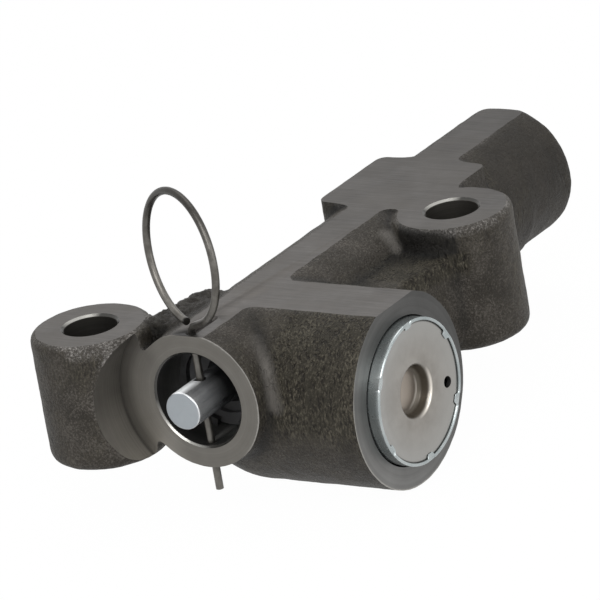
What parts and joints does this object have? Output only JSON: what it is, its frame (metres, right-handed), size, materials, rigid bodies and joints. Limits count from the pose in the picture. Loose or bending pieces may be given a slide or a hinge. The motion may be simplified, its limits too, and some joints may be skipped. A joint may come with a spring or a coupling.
{
  "type": "hydraulic timing belt tensioner",
  "caption": "Hydraulic timing belt tensioner: iron body with two bolt bosses, a sprung rod held in by a ring-pull wire pin, and a capped side reservoir.",
  "frame": {"origin": "centre of the rod's tip face", "axes": "+X along the rod into the casting and along its length, -Y the way the reservoir cap faces, +Z the way the milled plane and bolt seats face"},
  "size_m": [0.1344, 0.0743, 0.0697],
  "materials": {
    "cast_iron": "dark oxidised cast skin with milled grey faces",
    "polished_steel": "polished hard chrome",
    "ground_steel": "ground steel",
    "spring_steel": "dark drawn spring wire",
    "zinc_plate": "bright zinc plated pressed sheet",
    "pin_wire": "dull drawn steel wire",
    "seal_rubber": "black moulded rubber",
    "wear_polymer": "filled sliding polymer",
    "sintered_guide": "sintered bronze"
  },
  "bodies": {
    "housing": {"housing": "cast_iron", "seal_snap_ring": "spring_steel", "seal_case": "ground_steel", "seal_lip": "seal_rubber", "seal_garter_spring": "spring_steel", "rod_guide": "sintered_guide", "return_spring": "spring_steel", "cap_cup": "zinc_plate", "cap_disc": "zinc_plate", "reservoir_spring": "spring_steel", "diaphragm_plate": "ground_steel", "reservoir_diaphragm": "seal_rubber"},
    "plunger": {"plunger_rod": "polished_steel", "plunger": "ground_steel", "wear_ring": "wear_polymer", "valve_seat": "ground_steel", "valve_cage": "zinc_plate", "check_ball_spring": "spring_steel"},
    "check_ball": {"check_ball": "polished_steel"},
    "retaining_pin": {"retaining_pin": "pin_wire"}
  },
  "joints": [
    {"name": "pin_pull", "type": "slide", "parent": "housing", "child": "retaining_pin", "axis": [0, 0, 1], "range_m": [0, 0.036]},
    {"name": "plunger_slide", "type": "slide", "parent": "housing", "child": "plunger", "axis": [1, 0, 0], "range_m": [0, 0.0005], "stiffness_N_per_m": 7500, "springref_m": -0.015, "deforming": ["return_spring"]},
    {"name": "check_ball_lift", "type": "slide", "parent": "plunger", "child": "check_ball", "axis": [1, 0, 0], "range_m": [0, 0.0008], "stiffness_N_per_m": 100, "springref_m": -0.002, "deforming": ["check_ball_spring"]}
  ]
}
